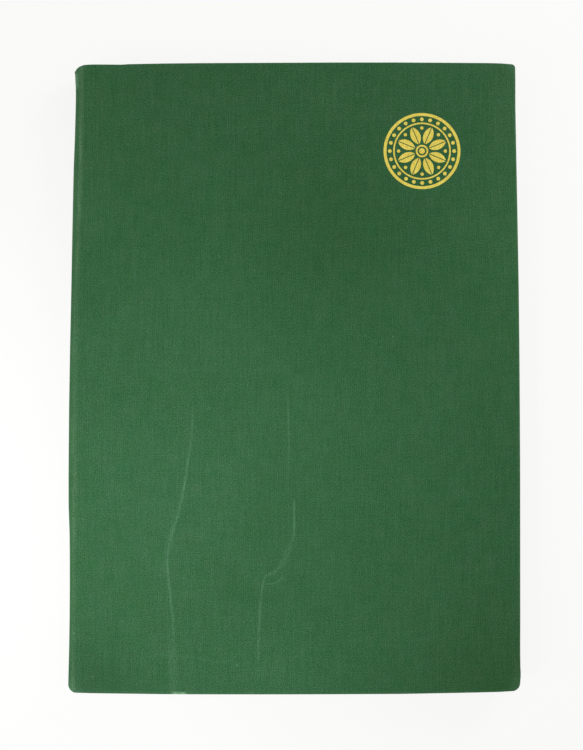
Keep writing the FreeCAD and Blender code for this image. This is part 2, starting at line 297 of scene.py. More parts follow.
def book_cloth(name, front):
    g = Graph(name)
    v = g.attribute("cloth")
    x, y, _ = g.split(v)
    height, warp, weft = weave(g, v)
    blotch = g.noise(v, 0.02, 3.0, 0.55)
    fleck = g.noise(v, 1.65, 2.0, 0.75)
    # painted shade in the weave: the crowns of the threads are paler and the gaps between them darker
    tone = g.mad(g.sub(height, 0.43), 0.25, 0.5)
    tone = g.mad(g.sub(warp, 0.5), 0.70, tone)
    tone = g.mad(g.sub(weft, 0.5), 0.20, tone)
    tone = g.mad(g.sub(fleck, 0.5), 2.5, tone)
    tone = g.mad(g.sub(g.noise(v, 0.14, 3.0, 0.65), 0.5), 0.30, g.mad(g.sub(blotch, 0.5), 0.24, tone))
    tone = g.math("MINIMUM", g.top(tone, 0.0), 1.0)
    dark, mid, pale = (0.0136, 0.0773, 0.0211), (0.0329, 0.1208, 0.0450), (0.0627, 0.1698, 0.0800)
    colour = g.mix(g.range(tone, 0.5, 1.0, smooth=False), g.mix(g.range(tone, 0.0, 0.5, smooth=False), dark, mid), pale)
    # uneven dye and dust: patches a few millimetres wide are a little greyer or browner than the next
    dust, dye = g.noise(v, 0.11, 5.0, 0.72), g.noise(g.vadd(v, (41.0, 17.0, 9.0)), 0.13, 5.0, 0.72)
    uneven = g.joined(g.mad(g.sub(dust, 0.5), 0.44, g.mad(g.sub(dye, 0.5), 0.58, 1.0)), 1.0, g.mad(g.sub(dust, 0.5), 0.46, 1.0))
    colour = g.mix(1.0, colour, uneven, "MULTIPLY")
    if front:
        # painted light and shade together with fading and soiling: each patch tints the cover most at its centre
        stay = g.range(x, XS - 5.5, XS - 2.5)
        for (px, py), (rx, ry), tint in LIGHT_SHADE_AND_SOIL_PATCHES:
            gone = g.add(g.math("POWER", g.mad(x, 1 / rx, -px / rx), 2.0), g.math("POWER", g.mad(y, 1 / ry, -py / ry), 2.0))
            colour = g.mix(g.mul(g.range(g.math("SQRT", gone), 0.0, 1.0, 1.0, 0.0), stay), colour, tint, "MULTIPLY")
    # rubbing: along board edges, on the ridge of the shoulder and at the corners
    ax, ay = g.math("ABSOLUTE", g.sub(x, 1.0)), g.math("ABSOLUTE", y)
    rub = g.top(g.range(ay, Y1 - 1.3, Y1 + 0.2), g.range(x, X1 - 1.4, X1 + 0.1))
    rub = g.mul(rub, g.range(g.noise(v, 0.16, 3.0, 0.6), 0.42, 0.72, 0.1, 0.75))
    corner = g.mul(g.range(ay, Y1 - 9.0, Y1 + 0.5), g.range(ax, X1 - 9.0, X1 + 0.5))
    t = g.mad(y, 1 / 340.0, 0.5)
    crest = g.curve(t, [(0.5 + a / 340.0, 0.5 + b / 8.0) for a, b in (
        (-170, -1.35), (-148, -1.35), (-122, -1.45), (-88, -1.4), (-52, -1.15), (-16, -1.6), (20, -1.45), (57, -0.95), (90, -0.1), (118, 0.35), (142, 0.45), (170, 0.4))])
    off = g.sub(x, g.mad(crest, 8.0, XS - 4.0))
    ridge = g.mul(g.range(off, -0.8, -0.1, 0.32, 1.0), g.range(off, 0.1, 2.7, 1.0, 0.0))
    ridge = g.mul(ridge, g.range(x, XS - 5.5, XS - 2.5))
    ridge = g.mul(ridge, g.range(g.noise(g.joined(g.mul(x, 0.4), g.mul(y, 0.06), 2.0), 1.0, 3.0, 0.65), 0.30, 0.75, 0.22, 0.68))
    ridge = g.mul(ridge, g.range(y, 20.0, 90.0, 0.72, 1.4))
    ridge = g.mul(ridge, g.range(g.noise(v, 1.1, 2.0, 0.7), 0.32, 0.66, 0.38, 1.62))
    worn = g.top(g.mul(rub, 0.55), g.mul(corner, 0.35))
    relief = g.mul(height, 0.085)
    if front:
        lines = None
        for line in CREASES:
            one = crease(g, *((x, y) if line["down"] else (y, x)), line["course"], line["strength"], line["half"])
            lines = one if lines is None else g.top(lines, one)
        lines = g.mul(lines, g.range(g.noise(v, 0.45, 3.0, 0.6), 0.3, 0.62, 0.5, 1.0))
        lines = g.mul(lines, g.range(g.noise(v, 1.3, 2.0, 0.7), 0.32, 0.66, 0.55, 1.35))
        relief = g.mad(lines, 0.14, relief)
        worn = g.top(worn, g.mul(lines, 0.63))
        # the fore-edge and the tail edge are rubbed thin, most at the head of the fore-edge and at its tail corner
        fray = g.top(g.range(x, X1 - 2.4, X1 - 0.1), g.mul(g.range(y, 1.9 - Y1, 0.2 - Y1), 0.9))
        fray = g.mul(fray, g.mul(g.range(y, 85.0, 125.0, 0.16, 0.34), g.range(g.noise(v, 0.4, 3.0, 0.6), 0.3, 0.7, 0.6, 1.3)))
        fade = g.mul(g.range(x, X1 - 20.0, X1 - 1.0), g.range(y, 92.0, 126.0, 0.0, 0.12))
        knock = g.mul(g.range(x, 106.5, 112.0), g.mul(g.range(y, -136.0, -150.0), g.range(g.noise(v, 0.5, 3.0, 0.6), 0.35, 0.65, 0.12, 0.34)))
        edges = g.top(knock, g.top(fray, fade))
        # the head of the shoulder is scuffed
        scuff = g.mul(g.mul(g.range(x, XS - 5.8, XS - 4.2), g.range(x, XS - 2.6, XS + 0.4, 1.0, 0.0)), g.range(y, 145.5, 149.0))
        scuff = g.mul(g.mul(scuff, g.range(y, 153.6, 156.0, 0.66, 0.0)), g.range(g.noise(v, 0.8, 3.0, 0.65), 0.34, 0.62, 0.35, 1.1))
        speck = g.range(g.noise(v, 0.33, 1.0, 0.5), 0.775, 0.80, 0.0, 0.55)
        worn = g.top(worn, speck)
        nick = g.mul(g.range(g.math("ABSOLUTE", g.add(x, 57.9)), 2.2, 4.6, 1.0, 0.0), g.range(y, 0.3 - Y1, 1.8 - Y1, 1.0, 0.0))
        nick = g.mul(g.mul(nick, g.range(y, -Y1 - 2.0, -Y1 - 0.3)), g.range(g.noise(v, 0.9, 2.0, 0.6), 0.35, 0.55, 0.6, 1.0))
    rubbed = g.mix(g.range(tone, 0.2, 0.9), (0.071, 0.158, 0.073), (0.125, 0.225, 0.112))
    colour = g.mix(ridge, colour, g.mix(g.range(y, 40.0, 90.0), rubbed, g.mix(g.range(tone, 0.2, 0.9), (0.071, 0.178, 0.083), (0.125, 0.247, 0.122))))
    if front:
        colour = g.mix(scuff, g.mix(edges, colour, rubbed), (0.205, 0.37, 0.215))
    colour = g.mix(worn, colour, g.mix(g.range(tone, 0.2, 0.9), (0.071, 0.188, 0.092), (0.138, 0.288, 0.171)))
    if front:
        colour = g.mix(nick, colour, (0.22, 0.40, 0.23))
    rough = g.mad(height, -0.08, 0.86)
    return g.set(Base_Color=colour, Roughness=rough, Sheen_Weight=0.03, Sheen_Roughness=0.5, Sheen_Tint=(0.45, 0.80, 0.52, 1.0),
                 Specular_IOR_Level=0.12, Normal=g.bump(relief, 0.9))


def gold_foil():
    """Matte blocked foil that shows the weave and has rubbed off in specks."""
    g = Graph("blocked_gold_foil")
    v = g.place()
    height, warp, weft = weave(g, v)
    patch = g.noise(v, 0.22, 4.0, 0.65)
    worn = g.mul(g.range(g.noise(v, 1.5, 3.0, 0.7), 0.60, 0.72), g.range(patch, 0.42, 0.62, 0.15, 1.0))
    worn = g.top(worn, g.mul(g.range(height, 0.16, 0.05), 0.35))
    grain = g.mad(g.sub(g.noise(v, 0.9, 2.0, 0.7), 0.5), 1.9, g.mad(g.sub(warp, 0.5), 1.2, patch))
    gold = g.mix(g.math("MINIMUM", g.top(grain, 0.0), 1.0), (0.79, 0.565, 0.048), (1.0, 0.87, 0.155))
    dull = g.range(g.noise(g.vadd(v, (0.0, 0.0, 23.0)), 0.30, 4.0, 0.68), 0.56, 0.74, 0.0, 0.6)      # where the lacquer has browned
    colour = g.mix(worn, g.mix(dull, gold, (0.52, 0.30, 0.055)), (0.11, 0.15, 0.045))
    metal = g.range(worn, 0.0, 1.0, 0.16, 0.0, smooth=False)
    return g.set(Base_Color=colour, Metallic=metal, Roughness=g.mad(patch, 0.2, 0.36), Normal=g.bump(g.mul(height, 0.07), 0.8))


def paper(name, light, dark, grain=1.0, rough=0.85, laid=0.0):
    """Uncoated stock: fibre clouds, flecks, a little yellowing towards the edges of the sheet."""
    g = Graph(name)
    v = g.place()
    x, y, z = g.split(v)
    cloud = g.noise(v, 0.05, 4.0, 0.6)
    fibre = g.noise(g.joined(g.mul(x, 0.35 * grain), g.mul(y, 1.6 * grain), g.mul(z, 1.6 * grain)), 1.0, 4.0, 0.7)
    edge = g.top(g.range(g.math("ABSOLUTE", y), 120.0, 156.0), g.range(x, 75.0, 110.0))
    tone = g.mad(g.sub(cloud, 0.5), 0.7, g.mad(g.sub(fibre, 0.5), 0.8, 0.62))
    tone = g.mad(edge, g.mul(cloud, -0.55), tone)
    if laid:
        tone = g.mad(g.cos(y, 1 / laid), 0.05, tone)
    fleck = g.range(g.noise(v, 2.4, 1.0, 0.5), 0.74, 0.80, 0.0, 0.35)
    colour = g.mix(fleck, g.mix(tone, dark, light), tuple(c * 0.55 for c in dark))
    return g.set(Base_Color=colour, Roughness=rough, Specular_IOR_Level=0.25, Normal=g.bump(g.mul(fibre, 0.03), 0.5))


def glassine(name, alpha, tint):
    """Glazed translucent sheet with faint drawing streaks."""
    g = Graph(name)
    v = g.place()
    x, y, z = g.split(v)
    streak = g.noise(g.joined(g.mul(x, 0.02), g.mul(y, 0.9), g.mul(z, 0.4)), 1.0, 3.0, 0.6)
    cloud = g.noise(v, 0.08, 3.0, 0.6)
    colour = g.mix(g.mad(g.sub(streak, 0.5), 0.8, cloud), tuple(c * 0.90 for c in tint), tint)
    return g.set(Base_Color=colour, Roughness=g.mad(cloud, 0.15, 0.26), Alpha=alpha, Specular_IOR_Level=0.45,
                 Normal=g.bump(g.mul(g.noise(v, 0.03, 1.0), 0.12), 0.3))


def fine_cloth(name, light, dark, pitch, open_weave=0.0):
    """Undyed linen or cotton: small plain weave with uneven threads."""
    g = Graph(name)
    v = g.place()
    x, y, z = g.split(v)
    s = g.add(x, z)
    a, b = g.cos(s, 1 / pitch), g.cos(y, 1 / pitch)
    over = g.mul(g.cos(s, 0.5 / pitch), g.cos(y, 0.5 / pitch))
    height = g.top(g.mul(g.mad(a, 0.5, 0.5), g.mad(over, 0.4, 0.6)), g.mul(g.mad(b, 0.5, 0.5), g.mad(over, -0.4, 0.6)))
    slub = g.noise(g.joined(g.mul(s, 0.9), g.mul(y, 0.12)), 1.0, 3.0, 0.65)
    # uneven threads, with painted shade in the weave: the gaps between threads darker, the crowns paler
    tone = g.mad(g.sub(slub, 0.5), 0.9, g.mul(height, 0.75 + open_weave))
    return g.set(Base_Color=g.mix(tone, dark, light), Roughness=0.9, Sheen_Weight=0.1, Normal=g.bump(g.mul(height, 0.05), 0.8))


def greyboard():
    g = Graph("grey_pulp_board")
    v = g.place()
    fibre = g.noise(g.scaled(v, (0.5, 0.5, 6.0)), 1.0, 5.0, 0.7)
    fleck = g.range(g.noise(v, 1.3, 2.0, 0.6), 0.62, 0.72, 0.0, 0.5)
    colour = g.mix(fleck, g.mix(fibre, (0.20, 0.185, 0.16), (0.40, 0.375, 0.33)), (0.10, 0.09, 0.08))
    return g.set(Base_Color=colour, Roughness=0.95, Normal=g.bump(g.mul(fibre, 0.08), 0.6))


def banded_silk():
    """Two thread colours wound round a headband's core."""
    g = Graph("headband_threads")
    x, y, z = g.split(g.place())
    turn = g.add(z, g.mul(g.add(x, y), 0.12))
    stripe = g.range(g.cos(turn, 1 / 2.6), -0.15, 0.15)
    thread = g.mad(g.cos(turn, 1 / 0.325), 0.5, 0.5)
    colour = g.mix(stripe, (0.74, 0.68, 0.50), (0.030, 0.115, 0.045))
    # painted shade: dark in the grooves between the turns of thread
    colour = g.mix(g.mul(g.sub(1.0, thread), 0.45), colour, (0.05, 0.05, 0.03))
    return g.set(Base_Color=colour, Roughness=0.55, Sheen_Weight=0.3, Normal=g.bump(g.mul(thread, 0.10), 0.9))


MAT = {
    "cloth_front": book_cloth("green_book_cloth_front", True),
    "cloth": book_cloth("green_book_cloth", False),
    "foil": gold_foil(),
    "endpaper": paper("endpaper", (0.80, 0.765, 0.665), (0.66, 0.60, 0.47), 1.0, 0.88),
    "card": paper("leaf_card", (0.80, 0.78, 0.72), (0.70, 0.66, 0.57), 0.8, 0.8),
    "stub": paper("stub_card", (0.74, 0.71, 0.63), (0.60, 0.55, 0.45), 1.2, 0.9),
    "kraft": paper("kraft_paper", (0.44, 0.29, 0.165), (0.31, 0.19, 0.10), 1.2, 0.85, 1.4),
    "strip": glassine("glassine_strip", 0.80, (0.90, 0.91, 0.875)),
    "sheet": glassine("glassine_sheet", 0.42, (0.92, 0.925, 0.885)),
    "linen": fine_cloth("linen_guard", (0.78, 0.75, 0.66), (0.52, 0.48, 0.38), 0.55),
    "tape": fine_cloth("cotton_tape", (0.82, 0.79, 0.71), (0.55, 0.51, 0.42), 0.8),
    "mull": fine_cloth("mull_gauze", (0.80, 0.76, 0.66), (0.34, 0.27, 0.17), 1.3, 0.15),
    "thread": fine_cloth("linen_thread", (0.84, 0.79, 0.66), (0.60, 0.54, 0.40), 0.35),
    "board": greyboard(),
    "band": banded_silk(),
}


def dress(obj, mat):
    obj.data.materials.clear()
    obj.data.materials.append(MAT[mat])


for n, o in nodes.items():
    if "cloth" in n:
        dress(o, "cloth")
    elif n in ("front_board", "back_board", "spine_strip"):
        dress(o, "board")
    elif "pastedown" in n or "flyleaf" in n:
        dress(o, "endpaper")
    elif n.endswith("_card"):
        dress(o, "card")
    elif n.endswith("_guard"):
        dress(o, "linen")
    elif n.endswith("_pockets"):
        dress(o, "strip")
    elif n.startswith("interleaf"):
        dress(o, "sheet")
    elif n == "cover_ornament":
        dress(o, "foil")
    elif n == "compensation_stubs":
        dress(o, "stub")
    elif n == "sewing_tapes":
        dress(o, "tape")
    elif n == "sewing_thread":
        dress(o, "thread")
    elif n == "mull":
        dress(o, "mull")
    elif n == "spine_lining":
        dress(o, "kraft")
    else:
        dress(o, "band")


# ------------------------------------------------------------------ mesh helper
class Sheet:
    """Vertices in millimetres, each with its place on the flat cloth."""

    def __init__(self):
        self.v, self.c, self.f = [], [], []

    def add(self, p, c=(0.0, 0.0)):
        self.v.append(tuple(p))
        self.c.append((c[0], c[1], 0.0))
        return len(self.v) - 1

    def face(self, *ids):
        kept = [i for k, i in enumerate(ids) if i != ids[k - 1]]
        if len(set(kept)) >= 3:
            self.f.append(tuple(kept))

    def object(self, name, mat, flip=False, thick=0.0, weld=1e-4, sharp=40.0):
        me = bpy.data.meshes.new(name)
        faces = [f[::-1] for f in self.f] if flip else self.f
        me.from_pydata([(x * MM, y * MM, z * MM) for x, y, z in self.v], [], faces)
        me.attributes.new("cloth", "FLOAT_VECTOR", "POINT").data.foreach_set("vector", np.array(self.c, np.float32).ravel())
        bm = bmesh.new()
        bm.from_mesh(me)
        bmesh.ops.remove_doubles(bm, verts=bm.verts, dist=weld * MM)
        bmesh.ops.dissolve_degenerate(bm, edges=bm.edges, dist=weld * MM)
        loose = [v for v in bm.verts if not v.link_faces]
        bmesh.ops.delete(bm, geom=loose, context="VERTS")
        bm.to_mesh(me)
        bm.free()
        ob = bpy.data.objects.new(name, me)
        scene.collection.objects.link(ob)
        if thick:
            m = ob.modifiers.new("thickness", "SOLIDIFY")
            m.thickness, m.offset, m.use_rim = thick * MM, -1.0, True
            bpy.context.view_layer.update()
            solid = bpy.data.meshes.new_from_object(ob.evaluated_get(bpy.context.evaluated_depsgraph_get()))
            ob.modifiers.clear()
            ob.data = solid
            bpy.data.meshes.remove(me)
            solid.name = name
            me = solid
        me.shade_smooth()
        me.set_sharp_from_angle(angle=math.radians(sharp))
        dress(ob, mat)
        return ob


# ------------------------------------------------------------------ the cloth case
# outline of the front cover against the plain rectangle: small departures of each side, in millimetres
def side_right(y):
    return lerp(y, [-159, -155, -152, -149.5, -147.5, -138, -123, -108, -92, -77, -47, -16, 14, 45, 75, 106, 136, 151, 159],
                [-0.78, -0.42, -0.13, -0.12, -0.24, -0.25, -0.05, 0.08, 0.22, 0.36, 0.62, 0.76, 0.84, 0.8, 0.56, 0.28, 0.0, 0.12, 0.1])


def side_left(y):
    return lerp(y, [-159, -153, -138, -123, -108, -92, -80, -66, -50, -16, 14, 45, 75, 106, 121, 136, 142, 147, 151, 153.4, 154.6, 155.6, 156.8, 159],
                [0.6, 0.55, 0.28, 0.14, 0.17, 0.3, 0.5, 1.1, 1.26, 1.25, 1.0, 0.6, 0.28, -0.13, -0.6, -0.9, -0.97, -0.9, -0.64, -0.55, -0.34, -0.04, 0.2, 0.25])


def side_head(x):
    return lerp(x, [-113, -111, -109.5, -107, -103, -92, -88, -85.5, -78, -68, -48, -18, 20, 54, 84, 100, 106, 113],
                [-0.1, -0.38, -0.45, -0.14, 0.08, 0.0, -0.05, 0.2, 0.35, 0.55, 0.75, 0.87, 1.05, 1.05, 0.87, 0.72, 0.55, -0.05])


def side_tail(x):
    return lerp(x, [-113, -110, -102, -87, -67, -47, -17, 3, 23, 53, 73, 93, 103, 108, 113],
                [0.1, 0.15, 0.4, 0.62, 0.9, 1.04, 1.1, 1.1, 1.05, 0.95, 0.62, 0.25, 0.0, -0.3, -0.6])


def eased(p, front):
    """The board edges are not ruler-straight: each side bows and dips a little."""
    x, y, z = p
    if front:
        up = lerp(z, [4.0, 17.0], [0.0, 1.0])
        dx = side_right(y) * lerp(x, [60, 105], [0, 1]) - side_left(y) * lerp(x, [X0, XS], [1, 0])
        dy = side_head(x) * lerp(y, [100, 150], [0, 1]) - side_tail(x) * lerp(y, [-150, -100], [1, 0])
        return x + dx * up, y + dy * up, z
    wob = 0.12 * math.sin(0.031 * y + 1.0) + 0.08 * math.sin(0.083 * y)
    return x + wob * lerp(x, [60, 105], [0, 1]), y + 0.1 * math.sin(0.045 * x) * lerp(abs(y), [100, 150], [0, 1]), z


def wrap(depth, turn, r_out=0.9, r_in=0.55):
    """Stations of the cloth round a board edge: (inset from the edge, drop below the face, length from the first)."""
    r1, r2 = min(r_out, depth * 0.45), min(r_in, depth * 0.45)
    st = [(3.0, 0.0), (1.9, 0.0), (r1, 0.0)]
    st += [(r1 * (1 - math.sin(a)), r1 * (1 - math.cos(a))) for a in np.radians([22.5, 45, 67.5, 90])]
    st += [(0.0, (r1 + depth - r2) / 2), (0.0, depth - r2)]
    st += [(r2 * (1 - math.cos(a)), depth - r2 + r2 * math.sin(a)) for a in np.radians([30, 60, 90])]
    st += [(t, depth) for t in (2.4, 5.0, 8.5, 12.0, turn) if t <= turn]
    out, run = [], 0.0
    for k, (a, b) in enumerate(st):
        if k:
            run += math.hypot(a - st[k - 1][0], b - st[k - 1][1])
        out.append((a, b, run))
    return out


WALL = 8                      # index of the last wrap station on the side of a board


CORNERS = {True: (5.7, 3.5), False: (2.6, 2.8)}      # rounding of the spine corners at head and tail, front and back


def cap_line(x, z, r):
    """How far the cloth is pulled in at the head or tail: most on the shoulder, little on the cap between the shoulders."""
    s = min(max(x - X0, 0.0), r)
    return (r - math.sqrt(max(r * r - (r - s) ** 2, 0.0))) * lerp(z, [11, 14, 16, 17.8, 19.8], [0.16, 0.2, 0.3, 0.55, 1.0])


def cover_cloth(front):
    sh = Sheet()
    r_head, r_tail = (1.9, 3.4) if front else (3.0, 2.4)
    s_head, s_tail = CORNERS[front]
    back = not front

    def put(x, y, z, u, v):
        p = eased((x, y, z), front)
        if front and z == T and -70 < x < 6 and y < 0:
            p = p[0], p[1], z + crease_height(x, y) * lerp(y, [-158.2, -154.0], [0.0, 1.0])
        if back:
            return sh.add((p[0], p[1], T - p[2]), (2 * U_MID - u, v))
        return sh.add(p, (u, v))

    stations = []
    for z in (SEAM_Z, (SEAM_Z + ZS) / 2):
        stations.append(dict(x=X0, z=z, n=(-1.0, 0.0), u=XS - SH * math.pi / 2 - (ZS - z), d=2.25, full=False))
    for a in np.radians(np.linspace(90, 0, 19)):
        d = lerp(math.degrees(a), [0, 15, 45, 70, 90], [DEPTH, 3.1, 2.75, 2.45, 2.3])
        stations.append(dict(x=XS - SH * math.sin(a), z=ZS + SH * math.cos(a), n=(-math.sin(a), math.cos(a)), u=XS - SH * a, d=d,
                             full=math.degrees(a) <= 15.01))
    if front:                 # a finer grid where the pressed lines run
        across = np.concatenate([np.linspace(XS + 6, -67, 23), np.linspace(-67, -49, 32)[1:], np.linspace(-49, -21, 18)[1:],
                                 np.linspace(-21, 2, 41)[1:], np.linspace(2, 110, 62)[1:]])
        middle = np.concatenate([np.linspace(-140, -8, 101)[1:], np.linspace(-8, 140, 75)[1:-1]])
    else:
        across, middle = np.linspace(XS + 6, 110.0, 128), np.linspace(-140, 140, 141)[1:-1]
    for x in np.concatenate([np.arange(XS + 0.4, XS + 6, 0.8), across]):
        stations.append(dict(x=float(x), z=T, n=(0.0, 1.0), u=float(x), d=DEPTH, full=True))
    rows = np.concatenate([np.linspace(-156, -140, 14 if front else 11), middle, np.linspace(140, 156, 11)])

    def row_y(st, y):
        lim = Y1 - 3.0 - cap_line(st["x"], st["z"], s_head if y > 0 else s_tail)
        return y if abs(y) <= 140 else math.copysign(140 + (abs(y) - 140) * (lim - 140) / 16.0, y)

    grid = [[put(s["x"], row_y(s, y), s["z"], s["u"], row_y(s, y)) for y in rows] for s in stations]
    for i in range(len(stations) - 1):
        for j in range(len(rows) - 1):
            sh.face(grid[i][j], grid[i + 1][j], grid[i + 1][j + 1], grid[i][j + 1])
    ring = []                 # (vertex column, full) all the way from the seam at the tail, round the fore-edge, to the seam at the head

    def column(first, points, full):
        ring.append(([first] + points, full))

    def end_column(i, sign):
        s = stations[i]
        edge = Y1 - cap_line(s["x"], s["z"], s_head if sign > 0 else s_tail)
        prof = wrap(s["d"], 16.0, r_in=0.55 if s["full"] else 0.1)
        pts = []
        for a, b, run in prof[1:]:
            x, z = s["x"], s["z"]
            if s["z"] == T and a > 3.0:      # mitre: the turn-in narrows towards the fore-edge corner
                x = XS + (x - XS) * (X1 - a - XS) / (110.0 - XS) if x > XS else x
            out = max(0.0, 156.2 - edge) * min(1.0, b / 1.4)      # inside, the tucked cloth stays clear of the flyleaf
            pts.append(put(x - s["n"][0] * b, sign * (edge - a + out), z - s["n"][1] * b, s["u"], sign * (edge - 3.0 + run)))
        column(grid[i][-1 if sign > 0 else 0], pts, s["full"])

    def corner_columns(sign, r):
        prof = wrap(DEPTH, 16.0)
        first = grid[-1][-1 if sign > 0 else 0]
        angles = np.radians(np.linspace(90, 0, 9))
        for a0 in (angles if sign > 0 else angles)[1:-1]:
            pts = []
            for a, b, run in prof[1:]:
                rr = max(r - a, 0.0) if a < r else 0.0
                cx, cy = X1 - a - rr, Y1 - a - rr
                pts.append(put(cx + rr * math.cos(a0), sign * (cy + rr * math.sin(a0)), T - b,
                               110 + run * math.cos(a0), sign * (156 + run * math.sin(a0))))
            yield first, pts

    for i in range(len(stations)):
        end_column(i, -1)
    for first, pts in corner_columns(-1, r_tail):
        column(first, pts, True)
    prof = wrap(DEPTH, 16.0)
    for j, y in enumerate(rows):
        pts = []
        for a, b, run in prof[1:]:
            yy = y * (Y1 - a) / 156.0 if a > 3.0 else y
            pts.append(put(X1 - a, yy, T - b, 110 + run, yy))
        column(grid[-1][j], pts, True)
    for first, pts in list(corner_columns(1, r_head))[::-1]:
        column(first, pts, True)
    for i in range(len(stations) - 1, -1, -1):
        end_column(i, 1)
    # the end of each shoulder is tucked shut: its walls meet in one point at the spine edge of the board
    tuck = {}
    for sign, cap in ((1, s_head), (-1, s_tail)):
        y = sign * (Y1 - 0.5 * cap_line(XS - SH * 0.7, T - 1.0, cap) - 0.6)
        tuck[sign] = put(XS - 0.35, y, ZS + 0.15, XS - 2.6, y + sign * 3.2)
    for (a, fa), (b, fb) in zip(ring, ring[1:]):
        for k in range(len(a) - 1):
            if k + 1 > WALL and not (fa and fb):
                if k == WALL:
                    sh.face(tuck[1 if sh.v[a[0]][1] > 0 else -1], b[k], a[k])
                continue
            sh.face(a[k + 1], b[k + 1], b[k], a[k])
    name = "front_cloth" if front else "back_cloth"
    return sh.object(name, "cloth_front" if front else "cloth", flip=back, thick=CLOTH_T)


front_cloth = cover_cloth(True)
back_cloth = cover_cloth(False)


def spine_panel():
    sh = Sheet()
    zs = np.linspace(T - SEAM_Z, SEAM_Z, 23)
    rows = np.concatenate([np.linspace(-156, -140, 9), np.linspace(-140, 140, 57)[1:-1], np.linspace(140, 156, 9)])

    def pull(z, sign):
        k = 0 if sign > 0 else 1
        f = lerp(z, [8, 14], [0, 1])
        return f * cap_line(X0, max(z, 11.0), CORNERS[True][k]) + (1 - f) * cap_line(X0, max(T - z, 11.0), CORNERS[False][k])

    def put(x, y, z, u, v):
        return sh.add(eased((x, y, z), True), (u, v))

    def row_y(z, y):
        lim = Y1 - 3.0 - pull(z, y)
        return y if abs(y) <= 140 else math.copysign(140 + (abs(y) - 140) * (lim - 140) / 16.0, y)

    def u_at(z):
        return XS - SH * math.pi / 2 - (ZS - z)

    swell = 0.0
    grid = [[put(X0 - swell * math.sin(math.pi * (z - 4.2) / 13.6), row_y(z, y), z, u_at(z), row_y(z, y)) for y in rows] for z in zs]
    for i in range(len(zs) - 1):
        for j in range(len(rows) - 1):
            sh.face(grid[i][j], grid[i][j + 1], grid[i + 1][j + 1], grid[i + 1][j])
    prof = wrap(2.3, 12.0)
    for sign in (1, -1):
        cols = []
        for i, z in enumerate(zs):
            edge = Y1 - pull(z, sign)
            pts = [put(X0 + b, sign * (edge - a), z, u_at(z), sign * (edge - 3.0 + run)) for a, b, run in prof[1:]]
            cols.append([grid[i][-1 if sign > 0 else 0]] + pts)
        for a, b in zip(cols, cols[1:]):
            for k in range(len(a) - 1):
                q = (a[k], a[k + 1], b[k + 1], b[k])
                sh.face(*(q if sign > 0 else q[::-1]))
    return sh.object("spine_cloth_panel", "cloth", flip=True, thick=CLOTH_T)


spine_cloth = spine_panel()

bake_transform(front_cloth)
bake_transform(back_cloth)
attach(spine_cloth, "spine")
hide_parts("front_cover_cloth", "front_joint_cloth")
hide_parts("back_cover_cloth", "back_joint_cloth")
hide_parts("spine_cloth")


# ------------------------------------------------------------------ paper linings of the two joints
def joint_lining(front):
    sh = Sheet()
    path = [(-108.9, 18.61), (-109.6, 18.64), (-109.98, 18.73), (-110.2, 18.95), (-110.31, 19.4), (-110.37, 19.95), (-110.43, 20.3),
            (-110.55, 20.47), (-110.67, 20.3), (-110.73, 19.95), (-110.78, 19.3), (-110.80, 18.6), (-110.82, 17.9)]
    pts = []
    for a, b in zip(path, path[1:]):
        pts += [(a[0] + (b[0] - a[0]) * t, a[1] + (b[1] - a[1]) * t) for t in (0.0, 1 / 3, 2 / 3)]
    pts.append(path[-1])
    ys = np.linspace(-154.6, 154.6, 63)

    def reach(x, y):          # the folded part of the paper ends short of the tucked cloth
        return y * lerp(x, [-110.8, -109.9], [152.0 / 154.6, 1.0])

    g = [[sh.add((x, reach(x, y), z if front else T - z), (x, y)) for y in ys] for x, z in pts]
    for i in range(len(pts) - 1):
        for j in range(len(ys) - 1):
            sh.face(g[i][j], g[i][j + 1], g[i + 1][j + 1], g[i + 1][j])
    ob = sh.object("front_joint_paper" if front else "back_joint_paper", "endpaper", flip=front, thick=0.06, sharp=80)
    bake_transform(ob)
    return ob


joint_lining(True)
joint_lining(False)


# ------------------------------------------------------------------ boards and spine strip, following the outline of the cloth they fill
def board(front):
    sh = Sheet()
    x0, x1, y1 = XS + 0.25, X1 - 0.45, Y1 - 0.45
    r_head, r_tail = (1.5, 3.0) if front else (2.6, 2.0)
    line = [(x, -y1) for x in np.linspace(x0, x1 - r_tail, 45)]
    line += [(x1 - r_tail + r_tail * math.sin(a), -y1 + r_tail - r_tail * math.cos(a)) for a in np.radians(np.linspace(15, 75, 5))]
    line += [(x1, y) for y in np.linspace(-y1 + r_tail, y1 - r_head, 63)]
    line += [(x1 - r_head + r_head * math.cos(a), y1 - r_head + r_head * math.sin(a)) for a in np.radians(np.linspace(15, 75, 5))]
    line += [(x, y1) for x in np.linspace(x1 - r_head, x0, 45)]
    line += [(x0, y) for y in np.linspace(y1, -y1, 63)[1:-1]]
    rings = []
    for inset, z in ((0.35, 18.72), (0.0, 18.95), (0.0, 21.2), (0.35, 21.58)):
        ring = []
        for x, y in line:
            cap = cap_line(x, T, CORNERS[front][0 if y > 0 else 1]) if abs(y) > 100 else 0.0
            y = math.copysign(max(abs(y) - 1.1 * cap, 0.0), y)
            k = (x1 - x0 - 2 * inset) / (x1 - x0), (y1 - inset) / y1
            px, py, pz = eased(((x0 + x1) / 2 + (x - (x0 + x1) / 2) * k[0], y * k[1], z), front)
            ring.append(sh.add((px, py, pz if front else T - pz)))
        rings.append(ring)
    n = len(line)
    for a, b in zip(rings, rings[1:]):
        for k in range(n):
            sh.face(a[k], a[(k + 1) % n], b[(k + 1) % n], b[k])
    sh.face(*rings[0][::-1])
    sh.face(*rings[-1])
    side = "front" if front else "back"
    ob = sh.object(side + "_pulp_board", "board", flip=not front)
    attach(ob, side + "_cover")
    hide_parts(side + "_board")


board(True)
board(False)


